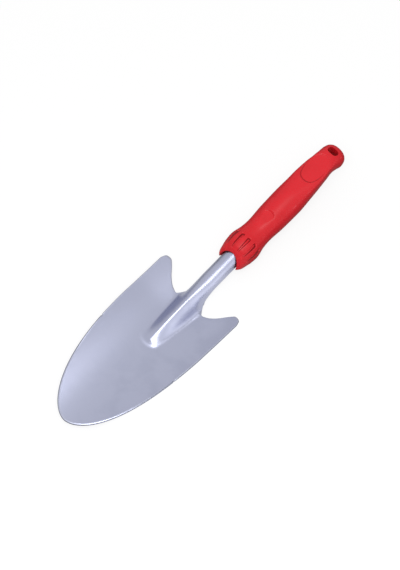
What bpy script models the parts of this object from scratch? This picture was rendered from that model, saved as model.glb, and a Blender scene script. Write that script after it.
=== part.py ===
"""Garden trowel: a pressed steel blade with its rolled shank, and a moulded plastic handle.

Metres, +Z up. The trowel lies hollow side up on a flat surface at z = 0. Its length runs along Y, with
the tip at -Y and the hanging hole at +Y, and it is the same on both sides of the plane x = 0. The blade's
own numbers are measured back from its tip, and the handle's own numbers are measured along its axis.
"""

import math

import bmesh
import bpy
from mathutils import Matrix, Vector

MM = 0.001

# Blade sheet
SHEET = 1.5 * MM                # gauge of the steel
BLADE_HALF_WIDTH = 42.9 * MM
FULL_WIDTH_AT = 150.0 * MM      # where the outline reaches its full width
OUTLINE_SWELL = 3.03            # how soon the outline fills out behind the tip
TIP_BLUNTNESS = 0.556           # 0.5 is a round tip, 1 is a straight-sided point
DISH_RADIUS = 91.0 * MM         # the hollow across the blade
TIP_RISE = math.radians(3.4)    # the blade climbs towards its tip at this angle
HEEL_AT = 128.0 * MM            # where that climb starts
HEEL_SOFTNESS = 8.0 * MM
GROUND_EDGE = 1.8 * MM          # width of the edge ground on the front of the blade
GROUND_DEPTH = 0.8 * MM
GROUND_UNTIL = 66.0 * MM        # the ground edge has run out here
GROUND_FADE = 24.0 * MM

# Rear corners of the blade, beside the shank: one side's edge from the notch out to the lobe
NECK_AT = 140.8 * MM
NOTCH_HALF_WIDTH = 14.6 * MM
LOBE_EDGE = (
    (14.6 * MM, 140.8 * MM),
    (20.6 * MM, 143.4 * MM),
    (26.6 * MM, 148.3 * MM),
    (32.4 * MM, 154.7 * MM),
    (37.0 * MM, 158.1 * MM),
    (40.9 * MM, 157.0 * MM),
    (42.7 * MM, 152.4 * MM),
)
LOBE_ROWS_FROM = 108.0 * MM     # the wings' rows start to lean back to the lobes here

# Rib: a ridge pressed up out of the blade, which deepens into the shank
NOSE_AT = 91.5 * MM             # the rib's rounded front end
NOSE_LENGTH = 8.0 * MM
NOSE_STEP = 4.0 * MM
CREST_BEND = 1.3                # how fast the crest line falls away forwards, per metre
CREST_RADIUS_AT_NOSE = 1.1 * MM
RIB_HALF_WIDTH_AT_NOSE = 10.2 * MM
RIB_FILLET_AT_NOSE = 6.0 * MM
RIB_FILLET_AT_NECK = 4.0 * MM

# Shank: the same sheet, rolled into a tube with an open seam underneath
SHANK_RADIUS = 7.7 * MM
NECK_AXIS = 7.375 * MM           # height of the shank's axis where the neck starts
SHANK_RISE = math.radians(7.4)  # the shank and the handle climb backwards at this angle
ROLL_LENGTH = 24.0 * MM         # the neck's open arch has closed into a tube this far back
ROLL_LEAD = 0.12                # how much sooner it closes than in step with the distance
SEAM_GAP = 1.6 * MM
TAIL_DEPTH = 72.0 * MM          # how far the shank reaches into the handle

# Handle, measured along its axis from the two points of its mouth
MOUTH_FROM_NECK = 45.52 * MM
HANDLE_LENGTH = 134.4 * MM
SOCKET_GAP = 0.3 * MM
SOCKET_SPARE = 1.0 * MM
MOUTH_RECESS = 7.1 * MM         # the mouth is arched: top and underside are set back by this
MOUTH_ARCH = 1.15               # 1 is a plain slanted mouth, more is rounder between its points
MOUTH_ROUNDING = 1.2 * MM
MOUTH_BLEND = 16.0 * MM         # the rings behind the mouth are straight from here on
HANDLE_PROFILE = (              # distance, half width, widest at, top, underside, squareness of the top
    (0.0 * MM, 8.7 * MM, 0.0 * MM, 8.7 * MM, -8.7 * MM, 2.0),
    (0.8 * MM, 9.9 * MM, 0.0 * MM, 9.9 * MM, -9.9 * MM, 2.0),
    (3.2 * MM, 11.8 * MM, 0.0 * MM, 11.8 * MM, -11.8 * MM, 2.0),
    (7.4 * MM, 12.9 * MM, 0.0 * MM, 12.9 * MM, -12.9 * MM, 2.0),
    (13.2 * MM, 14.0 * MM, 0.0 * MM, 14.0 * MM, -14.0 * MM, 2.0),
    (19.5 * MM, 14.5 * MM, 0.0 * MM, 14.5 * MM, -14.5 * MM, 2.0),
    (23.2 * MM, 14.1 * MM, 0.0 * MM, 14.1 * MM, -14.1 * MM, 2.0),
    (29.0 * MM, 12.7 * MM, 0.0 * MM, 12.7 * MM, -12.8 * MM, 2.0),
    (37.0 * MM, 12.0 * MM, 0.0 * MM, 12.0 * MM, -12.2 * MM, 2.0),
    (54.0 * MM, 13.0 * MM, 0.0 * MM, 13.0 * MM, -13.1 * MM, 2.0),
    (72.0 * MM, 13.3 * MM, 0.3 * MM, 13.1 * MM, -13.3 * MM, 2.0),
    (85.0 * MM, 12.5 * MM, 0.9 * MM, 12.1 * MM, -12.6 * MM, 2.6),
    (95.0 * MM, 11.9 * MM, 1.9 * MM, 11.0 * MM, -11.3 * MM, 3.8),
    (107.0 * MM, 10.9 * MM, 3.0 * MM, 10.3 * MM, -9.8 * MM, 4.2),
    (114.6 * MM, 10.0 * MM, 2.6 * MM, 9.9 * MM, -9.0 * MM, 4.0),
    (119.0 * MM, 10.1 * MM, 0.3 * MM, 9.6 * MM, -10.0 * MM, 3.2),
    (124.5 * MM, 10.8 * MM, -2.0 * MM, 8.9 * MM, -12.0 * MM, 2.2),
    (129.0 * MM, 9.9 * MM, -2.2 * MM, 7.7 * MM, -11.3 * MM, 2.0),
    (132.8 * MM, 6.6 * MM, -2.2 * MM, 4.4 * MM, -8.4 * MM, 2.0),
    (134.4 * MM, 1.2 * MM, -2.2 * MM, -1.0 * MM, -3.4 * MM, 2.0),
)

# Grooves round the collar. They and the thumb rest start flush and end in a step towards the grip
FLUTE_COUNT = 13
FLUTE_FROM = 10.0 * MM
FLUTE_TO = 25.2 * MM
FLUTE_WIDTH = 3.0 * MM          # at the rear end
FLUTE_TAPER = 0.6               # its width at the front, as a share of that
FLUTE_DEPTH = 1.6 * MM

THUMB_FROM = 34.0 * MM
THUMB_TO = 53.2 * MM
THUMB_WIDTH = 15.0 * MM
THUMB_DEPTH = 1.4 * MM

PAD_CENTRE = 105.8 * MM         # a bare oval pad with a flat floor, sunk into the top
PAD_LENGTH = 27.6 * MM
PAD_WIDTH = 17.2 * MM
PAD_SQUARENESS = 2.5            # 2 is an ellipse, more is fuller at the corners
PAD_FLOOR = 9.3 * MM            # above the handle's axis
PAD_TILT = math.radians(2.6)    # its floor falls backwards, as the top of the handle does

HOLE_CENTRE = 127.0 * MM        # the hanging hole goes right through, from top to underside
HOLE_ACROSS = 10.8 * MM
HOLE_ALONG = 6.4 * MM
HOLE_FLARE = 1.2 * MM           # its rims are flared by this
HOLE_LENGTH = 20.0 * MM         # from the land to the underside
LAND_HEIGHT = 8.0 * MM          # flat land round the hole, above the axis
LAND_RADIUS = 8.2 * MM
LAND_TILT = math.radians(12.0)  # the land falls backwards, and the hole is square to it
CUTTER_REACH = 5.0 * MM         # how far a cut starts outside the surface

# Mesh fineness
STRIP_CELLS = 10                # cells from the crest to the edge of the rolled strip
WING_CELLS = 10                 # cells from there to the blade's edge
HANDLE_SIDES = 56


def smoothstep(value, low, high):
    """0 below low, 1 above high, and a smooth climb between them."""
    t = min(1.0, max(0.0, (value - low) / (high - low)))
    return t * t * (3.0 - 2.0 * t)


def mix(a, b, t):
    return a + (b - a) * t


def through(knots, at):
    """Values at a distance along a smooth curve through rows of (distance, value, value...)."""
    at = min(max(at, knots[0][0]), knots[-1][0])
    i = 0
    while i < len(knots) - 2 and knots[i + 1][0] < at:
        i += 1
    span = knots[i + 1][0] - knots[i][0]
    t = (at - knots[i][0]) / span
    values = []
    for column in range(1, len(knots[0])):
        slopes = [knot_slope(knots, k, column) * span for k in (i, i + 1)]
        start = knots[i][column]
        end = knots[i + 1][column]
        values.append(
            start * (2 * t**3 - 3 * t**2 + 1)
            + slopes[0] * (t**3 - 2 * t**2 + t)
            + end * (3 * t**2 - 2 * t**3)
            + slopes[1] * (t**3 - t**2)
        )
    return values


def knot_slope(knots, k, column):
    """Slope at a knot that never overshoots its neighbours."""
    if k == 0 or k == len(knots) - 1:
        a, b = (0, 1) if k == 0 else (k - 1, k)
        return (knots[b][column] - knots[a][column]) / (knots[b][0] - knots[a][0])
    before = (knots[k][column] - knots[k - 1][column]) / (knots[k][0] - knots[k - 1][0])
    after = (knots[k + 1][column] - knots[k][column]) / (knots[k + 1][0] - knots[k][0])
    if before * after <= 0.0:
        return 0.0
    return 2.0 * before * after / (before + after)


def plain_material(name, colour, roughness, metallic):
    material = bpy.data.materials.new(name)
    material.use_nodes = True
    shader = material.node_tree.nodes["Principled BSDF"]
    shader.inputs["Base Color"].default_value = (*colour, 1.0)
    shader.inputs["Roughness"].default_value = roughness
    shader.inputs["Metallic"].default_value = metallic
    material.diffuse_color = (*colour, 1.0)
    return material


def object_from(bm, name, material=None):
    """Turn a bmesh into a named object that is shaded smooth between its sharp edges."""
    mesh = bpy.data.meshes.new(name)
    bm.to_mesh(mesh)
    bm.free()
    mesh.shade_smooth()
    mesh.set_sharp_from_angle(angle=math.radians(35))
    obj = bpy.data.objects.new(name, mesh)
    bpy.context.scene.collection.objects.link(obj)
    if material:
        mesh.materials.append(material)
    return obj


def make_cutter(bm, name, target):
    """A closed shape that is taken out of the target, and isn't itself a piece of the trowel."""
    bmesh.ops.recalc_face_normals(bm, faces=bm.faces[:])
    cutter = object_from(bm, name)
    cutter.hide_render = True
    cutter.display_type = "WIRE"
    cutter.parent = target
    boolean = target.modifiers.new(name, "BOOLEAN")
    boolean.operation = "DIFFERENCE"
    boolean.object = cutter
    return cutter


# Blade

def half_width(y):
    """Half the blade's width at a distance behind the tip."""
    if y >= FULL_WIDTH_AT:
        return BLADE_HALF_WIDTH
    t = 1.0 - y / FULL_WIDTH_AT
    return BLADE_HALF_WIDTH * (1.0 - t**OUTLINE_SWELL) ** TIP_BLUNTNESS


def outline_y(x):
    """How far behind the tip the blade's outline has the half width x."""
    swell = (x / BLADE_HALF_WIDTH) ** (1.0 / TIP_BLUNTNESS)
    return FULL_WIDTH_AT * (1.0 - (1.0 - swell) ** (1.0 / OUTLINE_SWELL))


def spine(y):
    """Height of the blade's underside along its middle."""
    ahead = HEEL_AT - y
    return math.tan(TIP_RISE) * 0.5 * (ahead + math.hypot(ahead, HEEL_SOFTNESS))


def crest(y):
    """Height of the top of the rib, whose line runs on from the top of the shank."""
    ahead = NECK_AT - y
    return NECK_AXIS + SHANK_RADIUS - math.tan(SHANK_RISE) * ahead - CREST_BEND * ahead**2


def ridge(x, height, half, top_radius, foot_radius):
    """Cross-section of the rib: a round top, straight flanks and a round fillet at the foot."""
    both = top_radius + foot_radius
    flank = math.asin(both / math.hypot(half, both - height)) - math.atan2(both - height, half)
    top_edge = top_radius * math.sin(flank)
    foot_edge = half - foot_radius * math.sin(flank)
    if x >= half:
        return 0.0
    if x <= top_edge:
        return height - top_radius + math.sqrt(top_radius**2 - x**2)
    if x <= foot_edge:
        edge_height = height - top_radius * (1.0 - math.cos(flank))
        return edge_height - (x - top_edge) * math.tan(flank)
    return foot_radius - math.sqrt(foot_radius**2 - (half - x) ** 2)


def rib(x, y):
    """Height of the rib above the blade that it is pressed out of."""
    if y <= NOSE_AT:
        return 0.0
    into = min(1.0, (y - NOSE_AT) / NOSE_LENGTH)
    narrowing = math.sqrt(1.0 - (1.0 - into) ** 2)
    step = smoothstep(y, NOSE_AT - 0.3 * NOSE_STEP, NOSE_AT + NOSE_STEP)
    full_y = min(max(y, NOSE_AT + NOSE_LENGTH), NECK_AT)
    along = (full_y - NOSE_AT) / (NECK_AT - NOSE_AT)
    height = crest(full_y) - SHEET - spine(full_y)
    half = mix(RIB_HALF_WIDTH_AT_NOSE, NOTCH_HALF_WIDTH, along)
    top_radius = mix(CREST_RADIUS_AT_NOSE, SHANK_RADIUS, along**1.3)
    foot_radius = mix(RIB_FILLET_AT_NOSE, RIB_FILLET_AT_NECK, along)
    return step * ridge(abs(x) / narrowing, height, half, top_radius, foot_radius)


def blade_top(x, y):
    """Height of the blade's upper face."""
    return SHEET + spine(y) + x * x / (2.0 * DISH_RADIUS) + rib(x, y)


def cell_fractions():
    """Where the mesh columns lie, as fractions of the half width: the rolled strip, then the wing."""
    border = NOTCH_HALF_WIDTH / BLADE_HALF_WIDTH
    strip = [border * i / STRIP_CELLS for i in range(STRIP_CELLS + 1)]
    last = 1.0 - GROUND_EDGE / BLADE_HALF_WIDTH
    wing = [mix(border, last, i / (WING_CELLS - 1)) for i in range(1, WING_CELLS)]
    right = strip + wing + [1.0]
    return [-f for f in reversed(right[1:])] + right


def front_rows():
    """Rows that start as the rounded front of the outline and straighten towards the rib."""
    first_edge = 31.0 * MM
    straight_at = 82.0 * MM
    reach = half_width(first_edge)
    steps = [0.0, GROUND_EDGE / straight_at]
    steps += [mix(steps[1], 1.0, i / 13.0) for i in range(1, 14)]
    rows = []
    for step in steps:
        middle = straight_at * step
        edge = mix(first_edge, straight_at, step)
        row = []
        for c in cell_fractions():
            bow = outline_y(abs(c) * reach) / first_edge
            row.append((c * half_width(edge), mix(middle, edge, bow)))
        rows.append(row)
    return rows


def lobe_edge(f):
    """A point on the rear edge, from the notch (f = 0) round the lobe to the outer edge (f = 1)."""
    lengths = [0.0]
    for a, b in zip(LOBE_EDGE, LOBE_EDGE[1:]):
        lengths.append(lengths[-1] + math.dist(a, b))
    knots = [(length, *point) for length, point in zip(lengths, LOBE_EDGE)]
    return through(knots, f * lengths[-1])


def rear_rows():
    """Rows from there to the neck, whose wings lean back until they follow the lobes' edge."""
    ys = [NOSE_AT - 5.0 * MM, NOSE_AT - 1.5 * MM]
    ys += [NOSE_AT + NOSE_STEP * i / 5.0 for i in range(6)]
    ys += [NOSE_AT + NOSE_LENGTH]
    ys += [mix(NOSE_AT + NOSE_LENGTH, NECK_AT, i / 11.0) for i in range(1, 12)]
    border = NOTCH_HALF_WIDTH / BLADE_HALF_WIDTH
    rows = []
    for y in ys:
        lean = max(0.0, (y - LOBE_ROWS_FROM) / (NECK_AT - LOBE_ROWS_FROM))
        row = []
        for c in cell_fractions():
            if lean == 0.0:
                row.append((c * half_width(y), y))
                continue
            strip_edge = mix(border * half_width(LOBE_ROWS_FROM), NOTCH_HALF_WIDTH, lean)
            if abs(c) <= border:
                row.append((c / border * strip_edge, y))
                continue
            end_x, end_y = lobe_edge((abs(c) - border) / (1.0 - border))
            x = mix(abs(c) * half_width(LOBE_ROWS_FROM), end_x, lean)
            row.append((math.copysign(x, c), mix(LOBE_ROWS_FROM, end_y, lean)))
        rows.append(row)
    return rows


def shank_rows(neck_profile):
    """Rows that roll the neck's open arch into a round tube, and then run straight to its tail."""
    seam_angle = 0.5 * SEAM_GAP / SHANK_RADIUS
    steps = [(i / 10.0) ** 2 for i in range(1, 11)]
    distances = [ROLL_LENGTH * step for step in steps]
    distances += [mix(ROLL_LENGTH, MOUTH_FROM_NECK + TAIL_DEPTH, i / 4.0) for i in range(1, 5)]
    rows = []
    for distance in distances:
        rolled = min(1.0, distance / ROLL_LENGTH)
        rolled += ROLL_LEAD * math.sqrt(rolled) * (1.0 - rolled)
        lean = SHANK_RISE * min(1.0, distance / ROLL_LENGTH)
        origin = Vector((0.0, NECK_AT, NECK_AXIS))
        origin += distance * Vector((0.0, math.cos(SHANK_RISE), math.sin(SHANK_RISE)))
        up = Vector((0.0, -math.sin(lean), math.cos(lean)))
        row = []
        for i, (x, z) in enumerate(neck_profile):
            angle = (i - STRIP_CELLS) / STRIP_CELLS * (math.pi - seam_angle)
            round_x = SHANK_RADIUS * math.sin(angle)
            round_z = SHANK_RADIUS * math.cos(angle)
            across = mix(x, round_x, rolled)
            row.append(origin + Vector((across, 0.0, 0.0)) + up * mix(z, round_z, rolled))
        rows.append(row)
    return rows


def skin(bm, rows):
    """Four-sided faces between rows of vertices that have the same count."""
    for near, far in zip(rows, rows[1:]):
        for i in range(len(near) - 1):
            bm.faces.new((near[i], near[i + 1], far[i + 1], far[i]))


def make_blade(material):
    """One pressed sheet: dished blade, rib, and the shank that is rolled out of the same piece."""
    bm = bmesh.new()
    plan = front_rows() + rear_rows()
    blade = [[bm.verts.new((x, y, blade_top(x, y))) for x, y in row] for row in plan]
    skin(bm, blade)
    neck = blade[-1][WING_CELLS:-WING_CELLS]
    profile = [(v.co.x, v.co.z - NECK_AXIS) for v in neck]
    shank = [[bm.verts.new(point) for point in row] for row in shank_rows(profile)]
    skin(bm, [neck] + shank)

    bm.normal_update()
    rim = [edge for edge in bm.edges if edge.is_boundary]
    twin = {}
    for vert in bm.verts[:]:
        twin[vert] = bm.verts.new(vert.co - vert.normal * SHEET)
    for face in bm.faces[:]:
        bm.faces.new([twin[v] for v in reversed(face.verts)])
    for edge in rim:
        a, b = edge.verts
        loop = edge.link_loops[0]
        if loop.vert is not a:
            a, b = b, a
        bm.faces.new((b, a, twin[a], twin[b]))
    for vert in {v for edge in rim for v in edge.verts}:
        ground = 1.0 - smoothstep(vert.co.y, GROUND_UNTIL - GROUND_FADE, GROUND_UNTIL)
        vert.co.z -= GROUND_DEPTH * ground
    return object_from(bm, "blade", material)


# Handle, made along +Y from the points of its mouth

def handle_section(at, angle):
    """A point of the handle's outer surface, at a distance along it and an angle round it."""
    half, widest_at, top, underside, top_squareness = through(HANDLE_PROFILE, at)
    side = math.cos(angle)
    rise = math.sin(angle)
    power = 2.0 / top_squareness if rise > 0.0 else 1.0
    reach = top - widest_at if rise > 0.0 else widest_at - underside
    x = half * math.copysign(abs(side) ** power, side)
    z = widest_at + reach * math.copysign(abs(rise) ** power, rise)
    return x, z


def mouth_setback(at, angle):
    """How far a ring near the mouth is pushed back, most at the top and the underside."""
    return MOUTH_RECESS * abs(math.sin(angle)) ** MOUTH_ARCH * (1.0 - smoothstep(at, 0.0, MOUTH_BLEND))


def make_handle(material):
    """One moulding with a blind socket for the shank."""
    bm = bmesh.new()
    angles = [2.0 * math.pi * i / HANDLE_SIDES for i in range(HANDLE_SIDES)]
    socket = SHANK_RADIUS + SOCKET_GAP
    rings = []
    for at, arched in ((TAIL_DEPTH + SOCKET_SPARE, 0.0), (MOUTH_BLEND, 0.0), (MOUTH_ROUNDING, 1.0)):
        rings.append(
            [
                (socket * math.cos(t), at + arched * mouth_setback(0.0, t), socket * math.sin(t))
                for t in angles
            ]
        )
    for at in handle_stations():
        ring = []
        for t in angles:
            x, z = handle_section(at, t)
            ring.append((x, at + mouth_setback(at, t), z))
        rings.append(ring)
    loops = [[bm.verts.new(point) for point in ring] for ring in rings]
    join_rings(bm, loops)
    handle = object_from(bm, "handle", material)
    cut_flutes(handle)
    cut_thumb_rest(handle)
    cut_pad(handle)
    cut_hanging_hole(handle)
    return handle


def handle_stations():
    """Distances of the handle's rings: close together at the mouth, the collar and the rear end."""
    stretches = (
        (0.0, 3.2 * MM, 4),
        (3.2 * MM, 13.2 * MM, 5),
        (13.2 * MM, 37.0 * MM, 11),
        (37.0 * MM, 107.0 * MM, 12),
        (107.0 * MM, 129.0 * MM, 9),
        (129.0 * MM, HANDLE_LENGTH, 5),
    )
    ats = [0.0]
    for start, end, count in stretches:
        ats += [mix(start, end, i / count) for i in range(1, count + 1)]
    return ats


def join_rings(bm, loops):
    """A closed skin along rings of vertices, with a flat face over each end."""
    for near, far in zip(loops, loops[1:]):
        for i in range(len(near)):
            j = (i + 1) % len(near)
            bm.faces.new((near[i], near[j], far[j], far[i]))
    bm.faces.new(list(reversed(loops[0])))
    bm.faces.new(loops[-1])
    bmesh.ops.recalc_face_normals(bm, faces=bm.faces[:])


def slot_outline(length, width, sides):
    """Plan of a slot with round ends, as (across, along) points round its centre."""
    straight = 0.5 * (length - width)
    points = []
    for i in range(sides):
        t = 2.0 * math.pi * (i + 0.5) / sides
        end = straight if math.sin(t) > 0.0 else -straight
        points.append((0.5 * width * math.cos(t), end + 0.5 * width * math.sin(t)))
    return points


def oval_outline(length, width, squareness, sides):
    """Plan of an oval with full corners, as (across, along) points round its centre."""
    points = []
    for i in range(sides):
        t = 2.0 * math.pi * i / sides
        across = 0.5 * width * math.copysign(abs(math.cos(t)) ** (2.0 / squareness), math.cos(t))
        along = 0.5 * length * math.copysign(abs(math.sin(t)) ** (2.0 / squareness), math.sin(t))
        points.append((across, along))
    return points


def add_slot(bm, turn, outline, middle, floor_height, top_height, flare):
    """A slot's closed shape: its floor_height is a function of the distance from its middle."""
    floor = []
    top = []
    for across, along in outline:
        floor.append(bm.verts.new(turn @ Vector((across, middle + along, floor_height(along)))))
        top.append(bm.verts.new(turn @ Vector((across * flare, middle + along, top_height))))
    join_rings(bm, [floor, top])


def cut_flutes(handle):
    """Grooves round the collar: they start flush and end at a step towards the grip."""
    front = through(HANDLE_PROFILE, FLUTE_FROM)[2]
    rear = through(HANDLE_PROFILE, FLUTE_TO)[2] - FLUTE_DEPTH
    length = FLUTE_TO - FLUTE_FROM
    outline = [
        (across * mix(FLUTE_TAPER, 1.0, 0.5 + along / length), along)
        for across, along in slot_outline(length, FLUTE_WIDTH, 12)
    ]
    bm = bmesh.new()
    for k in range(FLUTE_COUNT):
        add_slot(
            bm,
            turn=Matrix.Rotation(2.0 * math.pi * (k + 0.5) / FLUTE_COUNT, 4, "Y"),
            outline=outline,
            middle=0.5 * (FLUTE_FROM + FLUTE_TO),
            floor_height=lambda along: mix(front, rear, 0.5 + along / length),
            top_height=front + CUTTER_REACH,
            flare=1.25,
        )
    make_cutter(bm, "flute_cutter", handle)


def cut_thumb_rest(handle):
    """A flat place for the thumb on top of the neck, with a round step at its rear end."""
    front = through(HANDLE_PROFILE, THUMB_FROM)[2]
    rear = through(HANDLE_PROFILE, THUMB_TO)[2] - THUMB_DEPTH
    length = THUMB_TO - THUMB_FROM
    bm = bmesh.new()
    add_slot(
        bm,
        turn=Matrix.Identity(4),
        outline=slot_outline(length, THUMB_WIDTH, 36),
        middle=0.5 * (THUMB_FROM + THUMB_TO),
        floor_height=lambda along: mix(front, rear, 0.5 + along / length),
        top_height=front + CUTTER_REACH,
        flare=1.1,
    )
    make_cutter(bm, "thumb_cutter", handle)


def cut_pad(handle):
    """A bare pad with a flat floor, on top of the rear of the grip."""
    bm = bmesh.new()
    add_slot(
        bm,
        turn=Matrix.Identity(4),
        outline=oval_outline(PAD_LENGTH, PAD_WIDTH, PAD_SQUARENESS, 48),
        middle=PAD_CENTRE,
        floor_height=lambda along: PAD_FLOOR - math.tan(PAD_TILT) * along,
        top_height=PAD_FLOOR + CUTTER_REACH,
        flare=1.2,
    )
    make_cutter(bm, "pad_cutter", handle)


def cut_hanging_hole(handle):
    """A flat land on top of the end, and an oval hole with flared rims square through it."""
    place = Matrix.Translation((0.0, HOLE_CENTRE, LAND_HEIGHT)) @ Matrix.Rotation(-LAND_TILT, 4, "X")
    bm = bmesh.new()
    bmesh.ops.create_cone(
        bm, cap_ends=True, segments=40, radius1=LAND_RADIUS, radius2=LAND_RADIUS,
        depth=CUTTER_REACH, matrix=place @ Matrix.Translation((0.0, 0.0, 0.5 * CUTTER_REACH)),
    )
    make_cutter(bm, "land_cutter", handle)

    levels = (
        (-HOLE_LENGTH - CUTTER_REACH, HOLE_FLARE + CUTTER_REACH),
        (-HOLE_LENGTH + HOLE_FLARE, 0.0),
        (-HOLE_FLARE, 0.0),
        (CUTTER_REACH, HOLE_FLARE + CUTTER_REACH),
    )
    bm = bmesh.new()
    loops = []
    for level, grow in levels:
        outline = slot_outline(HOLE_ACROSS + 2.0 * grow, HOLE_ALONG + 2.0 * grow, 28)
        loops.append([bm.verts.new(place @ Vector((along, across, level))) for across, along in outline])
    join_rings(bm, loops)
    make_cutter(bm, "hole_cutter", handle)


def lay_down(root, pieces):
    """Set the trowel on z = 0 with the middle of its length and width over the origin."""
    bpy.context.view_layer.update()
    depsgraph = bpy.context.evaluated_depsgraph_get()
    points = []
    for piece in pieces:
        solid = piece.evaluated_get(depsgraph)
        points += [solid.matrix_world @ v.co for v in solid.data.vertices]
    low = [min(p[axis] for p in points) for axis in range(3)]
    high = [max(p[axis] for p in points) for axis in range(3)]
    root.location = (0.0, -0.5 * (low[1] + high[1]), -low[2])


def build_trowel():
    for obj in list(bpy.data.objects):
        bpy.data.objects.remove(obj, do_unlink=True)
    steel = plain_material("satin_steel", (0.62, 0.64, 0.74), 0.32, 0.9)
    red = plain_material("red_plastic", (0.66, 0.02, 0.03), 0.3, 0.0)
    root = bpy.data.objects.new("trowel", None)
    bpy.context.scene.collection.objects.link(root)

    blade = make_blade(steel)
    handle = make_handle(red)
    handle.location = Vector((0.0, NECK_AT, NECK_AXIS)) + MOUTH_FROM_NECK * Vector(
        (0.0, math.cos(SHANK_RISE), math.sin(SHANK_RISE))
    )
    handle.rotation_euler = (SHANK_RISE, 0.0, 0.0)
    for piece in (blade, handle):
        piece.parent = root
    lay_down(root, (blade, handle))


build_trowel()
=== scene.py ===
"""Garden trowel: satin steel blade with its rolled shank, and a red moulded handle, in a white studio.

Metres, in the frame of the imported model: the trowel lies hollow side up on z = 0, tip towards -Y.
"""

import math

import bmesh
import bpy
from mathutils import Matrix, Vector
from mathutils.kdtree import KDTree


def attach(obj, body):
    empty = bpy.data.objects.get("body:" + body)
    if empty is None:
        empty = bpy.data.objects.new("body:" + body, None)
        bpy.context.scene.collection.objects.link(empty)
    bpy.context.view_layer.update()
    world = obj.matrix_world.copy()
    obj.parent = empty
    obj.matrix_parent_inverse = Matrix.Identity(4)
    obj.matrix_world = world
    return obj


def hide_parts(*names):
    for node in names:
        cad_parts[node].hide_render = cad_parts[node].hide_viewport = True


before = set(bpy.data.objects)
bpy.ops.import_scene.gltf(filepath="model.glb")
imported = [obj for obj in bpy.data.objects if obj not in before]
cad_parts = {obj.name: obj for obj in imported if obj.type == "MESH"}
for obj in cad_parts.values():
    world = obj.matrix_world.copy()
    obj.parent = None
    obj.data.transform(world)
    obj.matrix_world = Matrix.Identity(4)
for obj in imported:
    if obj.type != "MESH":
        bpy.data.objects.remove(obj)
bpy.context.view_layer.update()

MM = 0.001


# Blade, measured back from its tip, as the solid is, but with a finer ground edge
SHEET = 1.5 * MM
BLADE_HALF_WIDTH = 42.9 * MM
FULL_WIDTH_AT = 150.0 * MM
OUTLINE_SWELL = 3.03
TIP_BLUNTNESS = 0.556
DISH_RADIUS = 91.0 * MM
TIP_RISE = math.radians(3.4)
HEEL_AT = 128.0 * MM
HEEL_SOFTNESS = 8.0 * MM
GROUND_EDGE = 1.3 * MM
GROUND_DEPTH = 0.42 * MM
GROUND_UNTIL = 66.0 * MM
GROUND_FADE = 24.0 * MM
GROUND_NARROWED = 0.4           # share of its width that is left where the front rows end
RIM_ROUNDING = 0.42 * MM        # the sheared edges are broken by this
NECK_AT = 140.8 * MM
NOTCH_HALF_WIDTH = 14.6 * MM
LOBE_EDGE = (
    (14.6 * MM, 140.8 * MM),
    (20.6 * MM, 143.4 * MM),
    (26.6 * MM, 148.3 * MM),
    (32.4 * MM, 154.7 * MM),
    (37.0 * MM, 158.1 * MM),
    (40.9 * MM, 157.0 * MM),
    (42.7 * MM, 152.4 * MM),
)
LOBE_ROWS_FROM = 108.0 * MM
FRONT_ROWS_UNTIL = 82.0 * MM
FRONT_ROWS_REACH = 31.0 * MM    # the first row is the outline from here round the tip to here

# Rib and shank. The rib starts 2 mm nearer the tip than the solid's does
NOSE_AT = 89.5 * MM             # the front end of the rib
NOSE_LENGTH = 7.3 * MM          # its rounded end is this long
CREST_BEND = 1.75
RIB_HALF_WIDTH_AT_NOSE = 10.6 * MM
RIB_SLOPE = (                   # share of its half width, and how steep the rib is there, most being 1
    (0.0, 0.0),
    (0.08, 0.45),
    (0.18, 0.68),
    (0.32, 0.86),
    (0.46, 0.97),
    (0.58, 1.0),
    (0.70, 0.88),
    (0.82, 0.55),
    (0.92, 0.22),
    (1.0, 0.0),
)
RIB_SAMPLES = 80
RIB_STEEPEST = math.radians(80)
RIB_TRIES = 24                  # halvings of the range that the rib's slope is searched in
SHANK_RADIUS = 7.7 * MM
NECK_AXIS = 7.375 * MM          # height of the shank's axis where the neck starts
SHANK_RISE = math.radians(7.4)
ROLL_LENGTH = 24.0 * MM
ROLL_LEAD = 0.12
SEAM_GAP = 1.6 * MM
TAIL_DEPTH = 72.0 * MM

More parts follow.
